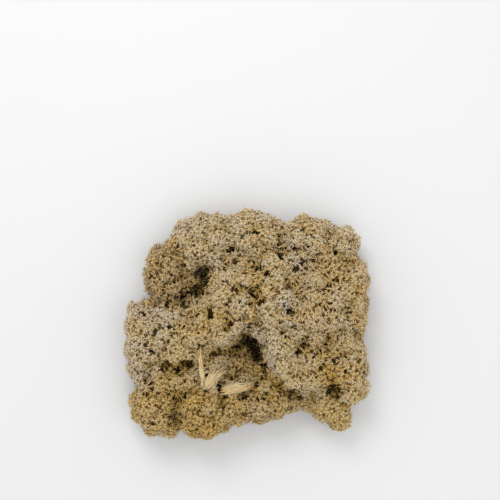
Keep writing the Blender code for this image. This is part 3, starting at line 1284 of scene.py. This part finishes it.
@dataclass
class Clump:
    """The whole clump: its tufts, and the one skin that their crowns share."""

    tufts: tuple[Tuft, ...]
    stems: tuple[BareStems, ...]
    seed: int = 7
    wave_seed: int = 5
    wave_numbers: tuple[float, float] = (110.0, 480.0)  # radians to the metre
    wrap: Wrap = Wrap()
    habit: Habit = Habit()
    first_level: Level = Level()
    levels: int = 4
    tried: float = 0.62 / MM**2  # points to the square metre of skin, out of which forks are chosen
    marked: float = 0.1 / MM**2  # points to the square metre that stand for a tuft's own skin
    owner_reach: tuple[float, float] = (7 * MM, 28 * MM)  # tried one after the other
    underside_grain: float = 1.4
    depth: tuple[float, float] = (1.3 * MM, 0.4 * MM)  # of the forks under the skin: mean and spread
    lowest_fork: float = 0.8 * MM
    head: float = 14 * MM  # across
    head_reach: float = 8 * MM
    thinned: int = 14  # one in so many random points may be the middle of a random head
    crease: float = 7.4 * MM  # how deep the grooves between heads are
    slope: float = 6.0 * MM
    crease_shown: tuple[float, float] = (0.85, 0.4)  # its mean share and its least
    rounding: float = 0.9  # how far branches lean away from a head's middle at its edge
    seam: float = 1.8 * MM  # how deep the grooves between tufts are
    seam_width: float = 2.4 * MM
    seam_shown: tuple[float, float] = (0.6, 1.1)  # its mean share, and how much the slow waves change it
    seam_reach: float = 4 * MM
    swell: float = 1.6 * MM  # how high the slow waves are, about
    filling: float = 2.4 * MM  # how far the skin swells where its heads run together
    blend: float = 7 * MM  # the looks of two tufts run into each other over this
    skin_age: float = 0.15
    # Painted shade in the grooves between heads and tufts, added to the age there.
    groove_shade: float = 0.5
    under_age: float = 0.4
    # Painted shade: how dark the joints in a hollow are made.
    hollow_shade_share: float = 1.4  # a joint's least age in a hollow, as a share of the hollow's shade
    age_swing: float = 0.03
    wave_tone: float = 0.45  # how much the slow waves change the tone
    tone_swing: float = 0.06

    def sown(self, skin: Skin, owner_at: Array, rng: Random) -> tuple[Forks, Array]:
        """Spreads the outermost forks over the skin.

        A fork is painted darker in hollows and grooves, as shade added to its age, and is older where it
        faces down.

        Args:
            skin: the skin round all tufts.
            owner_at: the tuft's number at each corner of the skin.
            rng: where chance comes from.

        Returns:
            The forks, and how far apart they are there.
        """
        place, facing, corner = skin.scatter(self.tried, rng)
        owner = owner_at[corner]
        bare = np.any([fan.bare(place) for fan in self.stems], axis=0)
        place, facing, owner = place[~bare], facing[~bare], owner[~bare]
        place, facing, groove = self.pressed_in(place, facing, owner, rng)
        room = np.array([tuft.grain.value for tuft in self.tufts])[owner]
        room = room * np.where(facing[:, 2] < UNDER, self.underside_grain, 1.0)
        room = room * (1 - patched(place, "closer") * (facing[:, 2] > UPPER))
        kept = spaced(place, room, rng)
        place, facing, owner, groove, room = (
            table[kept] for table in (place, facing, owner, groove, room)
        )
        mean, swing = self.depth
        place = place - facing * (mean + rng.normal(0, swing, (len(place), 1)))
        place[:, 2] = np.maximum(place[:, 2], self.lowest_fork)
        upper = facing[:, 2] > UPPER
        darker, warmer = patched(place, "shade") * upper, patched(place, "tone") * upper
        looks = np.array([(tuft.tone, tuft.shade) for tuft in self.tufts])[owner]
        rows, others, _ = pairs_within(place, place, self.blend)
        near = np.bincount(rows)
        tone, shade = (np.bincount(rows, look[others]) / near for look in looks.T)
        # The patches' shade and the grooves add to the age: painted shade in hollows, creases and
        # grooves.
        age = self.skin_age + darker + shade + self.groove_shade * groove
        age = age + rng.normal(0, self.age_swing, len(place))
        age += self.under_age * np.clip(-facing[:, 2], 0, 1)
        tone = tone + warmer + self.wave_tone * self.slow(place, Wave.TONE)
        tone = tone + rng.normal(0, self.tone_swing, len(place))
        return Forks(place, facing, np.clip(age, 0.02, 1), np.clip(tone, 0, 1), owner), room

    def owners(self, corners: Array, skins: list[Skin], rng: Random) -> Array:
        """The number of the tuft whose own skin is nearest to each corner.

        Args:
            corners: rows of places.
            skins: the tufts' own skins.
            rng: where the points that stand for a skin come from.

        Returns:
            A tuft's number for each corner.
        """
        samples = [skin.scatter(self.marked, rng)[0] for skin in skins]
        number = np.repeat(np.arange(len(samples)), [len(sample) for sample in samples])
        owner = np.zeros(len(corners), int)
        left = np.arange(len(corners))
        for reach in self.owner_reach:
            if len(left):
                found = nearest_few(corners[left], np.concatenate(samples), 1, reach)[0][:, 0]
                owner[left[found >= 0]] = number[found[found >= 0]]
                left = left[found < 0]
        return owner

    def heads(self, place: Array, facing: Array, rng: Random) -> Array:
        """Middles of the rounded heads: the known ones, and random ones where no known one is near.

        Args:
            place: rows of places on the skin.
            facing: the way that the skin faces there.
            rng: where the random ones come from.

        Returns:
            Rows of places.
        """
        upper = place[facing[:, 2] > 0.3]
        flat = np.pad(PHOTO.places(HEADS), ((0, 0), (0, 1)))
        near = nearest_few(flat, upper * (1, 1, 0), 1, self.head_reach)[0][:, 0]
        known = upper[near[near >= 0]]
        few = place[:: self.thinned]
        few = few[nearest_few(few, known, 1, self.head)[0][:, 0] < 0]
        return np.concatenate([known, few[spaced(few, self.head, rng)]])

    def pressed_in(
        self, place: Array, facing: Array, owner: Array, rng: Random
    ) -> tuple[Array, Array, Array]:
        """Sinks the skin a little where two heads or two tufts meet, and swells it in slow waves.

        Where the two nearest heads' middles are a and b away, the skin sinks by crease times
        exp(-(b - a) / slope). Where another tuft is d away, it sinks by seam times
        exp(-(d / seam_width)^2). Slow waves change both.

        Args:
            place: rows of places.
            facing: the way that the skin faces there.
            owner: the tuft that each place belongs to.
            rng: where the random heads come from.

        Returns:
            The new places and facings, and how deep in a groove each place is, from 0 to 1.
        """
        heads = self.heads(place, facing, rng)
        table, away = nearest_few(place, heads, 2, self.head * 2)
        away = np.where(table < 0, self.head * 2, away)
        valley = np.exp((away[:, 0] - away[:, 1]) / self.slope)
        lean = place - heads[table[:, 0]]
        lean -= (lean * facing).sum(1, keepdims=True) * facing
        rows, others, gaps = pairs_within(place, place, self.seam_reach)
        foreign = owner[rows] != owner[others]
        edge = np.full(len(place), np.inf)
        np.minimum.at(edge, rows[foreign], gaps[foreign])
        shown = np.clip(self.seam_shown[0] + self.seam_shown[1] * self.slow(place, Wave.SEAM), 0, 1)
        seam = np.exp(-((edge / self.seam_width) ** 2)) * shown
        mean, least = self.crease_shown
        shown = np.clip(mean + self.slow(place, Wave.VALLEY), least, 1)
        smooth = patched(place, "smooth")
        valley *= shown * (1 - smooth)
        wave = self.swell * 2 * self.slow(place, Wave.SWELL) + self.filling * smooth
        place = place - facing * (self.crease * valley + self.seam * seam - wave)[:, None]
        facing = unit(facing + self.rounding * lean / self.head)
        return place, facing, np.clip(0.4 * seam + valley**2.4, 0, 1)

    def slow(self, places: Array, wave: Wave) -> Array:
        """A slow random wave over the clump: the mean of six plane waves, about -0.4 to 0.4.

        Args:
            places: rows of places.
            wave: which one it is.

        Returns:
            The wave's height at each place.
        """
        rng = np.random.default_rng((self.wave_seed, wave.value))
        waves = unit(rng.normal(size=(6, 3))) * rng.uniform(*self.wave_numbers, (6, 1))
        return np.sin(places @ waves.T + rng.uniform(0, 2 * math.pi, 6)).mean(1)

    def strands(self) -> list[list[Strands]]:
        """Grows the whole clump, from the skin down to the tufts' feet.

        Returns:
            One list of strands for each tuft.
        """
        rng = np.random.default_rng(self.seed)
        skins = [Skin.of_mesh(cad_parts[tuft.node].data) for tuft in self.tufts]
        skin = self.wrap.around(skins)
        owner_at = self.owners(skin.corners, skins, rng)
        self.wrap.press_hollows(skin)
        forks, room = self.sown(skin, owner_at, rng)
        roots = np.stack([tuft.root for tuft in self.tufts])
        grown = [(group, forks.owner[row]) for group, row in self.habit.stars(forks, room, rng)]
        for fan in self.stems:
            for group in fan.grow(skin, rng):
                grown.append((group, np.full(len(group.line), fan.owner)))
        crown, level = forks, self.first_level
        for left in reversed(range(self.levels)):
            inner, joint_of = forks.gathered(crown, level, roots, rng)
            # Painted shade: joints in hollows get at least the hollow's shade as age, down to the near
            # black of the deepest.
            hollow_shade = self.hollow_shade_share * patched(inner.place, "shade")
            inner.age = np.clip(np.maximum(inner.age, hollow_shade), 0, 1)
            sides = 3 if forks is crown else 4
            grown.append((self.habit.joined(inner, joint_of, forks, level.radius, sides), forks.owner))
            if left:
                for arms, row in self.habit.side_arms(inner, crown, level, rng):
                    grown.append((arms, inner.owner[row]))
            forks, level = inner, level.further_in()
        count = len(self.tufts)
        up = np.tile((0.0, 0.0, 1.0), (count, 1))
        feet = Forks(roots, up, np.ones(count), np.full(count, 0.5), np.arange(count))
        grown.append((self.habit.joined(feet, forks.owner, forks, level.radius, 5), forks.owner))
        return [
            [group.part(owner == number) for group, owner in grown if (owner == number).any()]
            for number in range(count)
        ]

    def build(self) -> None:
        """Grows every tuft and makes its piece."""
        total = 0
        for tuft, groups in zip(self.tufts, self.strands()):
            name = tuft.node + "_branches"
            piece = placed(name, joined_mesh(name, groups))
            piece.data.materials.append(tuft.finish.value.material())
            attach(piece, "root")
            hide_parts(tuft.node)
            piece.data.calc_loop_triangles()
            triangles = len(piece.data.loop_triangles)
            total += triangles
            log.info("%s: %d triangles", name, triangles)
        log.info("all tufts: %d triangles", total)


CLUMP = Clump(
    (
        Tuft("left_tuft", Grain.COARSE, Finish.TAN, 0.2, 0.04),
        Tuft("upper_left_tuft", Grain.MEDIUM, Finish.GREY, 0.0, 0.36),
        Tuft("centre_left_tuft", Grain.MEDIUM, Finish.GOLDEN, 0.75, -0.08),
        Tuft("upper_centre_tuft", Grain.FINE, Finish.TAN, 0.47, 0.06),
        Tuft("ridge_tuft", Grain.MEDIUM, Finish.TAN, 0.55, -0.03),
        Tuft("upper_right_tuft", Grain.MEDIUM, Finish.TAN, 0.45, 0.09),
        Tuft("lower_right_tuft", Grain.MEDIUM, Finish.GOLDEN, 0.55),
        Tuft("right_flank_tuft", Grain.MEDIUM, Finish.GOLDEN, 0.6),
        Tuft("bottom_right_tuft", Grain.FINE, Finish.GOLDEN, 0.7, 0.07),
        Tuft("lower_left_tuft", Grain.COARSE, Finish.GOLDEN, 0.55, 0.23),
        Tuft("bottom_tuft", Grain.MEDIUM, Finish.GOLDEN, 0.6, 0.35),
        Tuft("bottom_centre_tuft", Grain.MEDIUM, Finish.GREY, 0.75, 0.03),
        # The low inner tuft is painted darker as the shade of its neighbours.
        Tuft("inner_tuft", Grain.MEDIUM, Finish.GREY, 0.65, 0.24),
        Tuft("stem_tuft", Grain.MEDIUM, Finish.PALE, 0.5, 0.04),
        Tuft("top_left_tuft", Grain.MEDIUM, Finish.TAN, 0.4),
        Tuft("top_centre_tuft", Grain.FINE, Finish.TAN, 0.5),
        Tuft("top_right_tuft", Grain.COARSE, Finish.TAN, 0.4),
    ),
    (
        BareStems(((204, 389), (202, 372), (201, 342)), 4, (1.2 * MM, 0.6 * MM), 0.8 * MM, ragged=0.12),
        BareStems(((203, 391), (212, 378), (226, 363)), 14, (2.2 * MM, 4.0 * MM), 0.62 * MM),
        BareStems(((219, 389), (234, 388), (256, 383)), 16, (4.4 * MM, 1.6 * MM), 0.65 * MM),
    ),
)


@dataclass(frozen=True)
class Studio:
    """A pale floor, soft light from overhead, and the camera that looks straight down."""

    middle: tuple[float, float] = (250.0, 250.0)  # of the photograph, in pixels
    lens: float = 85.0
    sensor: float = 36.0
    sharp_height: float = 35 * MM  # the clump is in the photograph's scale here
    sky: float = 1.12
    floor_half: float = 3.0
    floor_colour: tuple[float, float, float] = (0.52, 0.522, 0.525)
    floor_roughness: float = 0.8

    def build(self) -> None:
        """Makes the floor, the lamps, the sky and the camera."""
        self.floor()
        self.lamp("overhead", (-0.2, 0.6, 0.87), 0.45, 5.3)
        self.lamp("fill", (0.25, -0.2, 1.1), 0.9, 3.9)
        world = bpy.data.worlds.new("studio")
        world.use_nodes = True
        background = world.node_tree.nodes["Background"]
        background.inputs["Color"].default_value = (1, 1, 1, 1)
        background.inputs["Strength"].default_value = self.sky
        bpy.context.scene.world = world
        bpy.context.scene.view_settings.view_transform = "Standard"
        data = bpy.data.cameras.new("camera")
        data.lens, data.sensor_width = self.lens, self.sensor
        camera = placed("camera", data)
        x, y = PHOTO.places((self.middle,))[0]
        away = PHOTO.width * PHOTO.pixel * self.lens / self.sensor
        camera.location = (x, y, self.sharp_height + away)
        bpy.context.scene.camera = camera

    def floor(self) -> None:
        """A wide pale floor under the clump."""
        half = self.floor_half
        mesh = bpy.data.meshes.new("floor")
        mesh.from_pydata(
            [(-half, -half, 0), (half, -half, 0), (half, half, 0), (-half, half, 0)], [], [(0, 1, 2, 3)]
        )
        floor = placed("floor", mesh)
        material = bpy.data.materials.new("floor")
        material.use_nodes = True
        shader = material.node_tree.nodes["Principled BSDF"]
        shader.inputs["Base Color"].default_value = (*self.floor_colour, 1)
        shader.inputs["Roughness"].default_value = self.floor_roughness
        mesh.materials.append(material)

    def lamp(self, name: str, place: tuple[float, float, float], size: float, power: float) -> None:
        """A square soft lamp that faces the clump.

        Args:
            name: the lamp's name.
            place: where it hangs.
            size: its side.
            power: its power in watts.
        """
        data = bpy.data.lights.new(name, "AREA")
        data.size, data.energy = size, power
        lamp = placed(name, data)
        lamp.location = place
        x, y, z = place
        lamp.rotation_euler = (math.atan2(math.hypot(x, y), z), 0, math.atan2(y, x) + math.pi / 2)


def main() -> None:
    """Builds the studio and the clump."""
    logging.basicConfig(level=logging.INFO, format="%(message)s")
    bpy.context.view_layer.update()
    Studio().build()
    CLUMP.build()


if __name__ == "__main__":
    main()
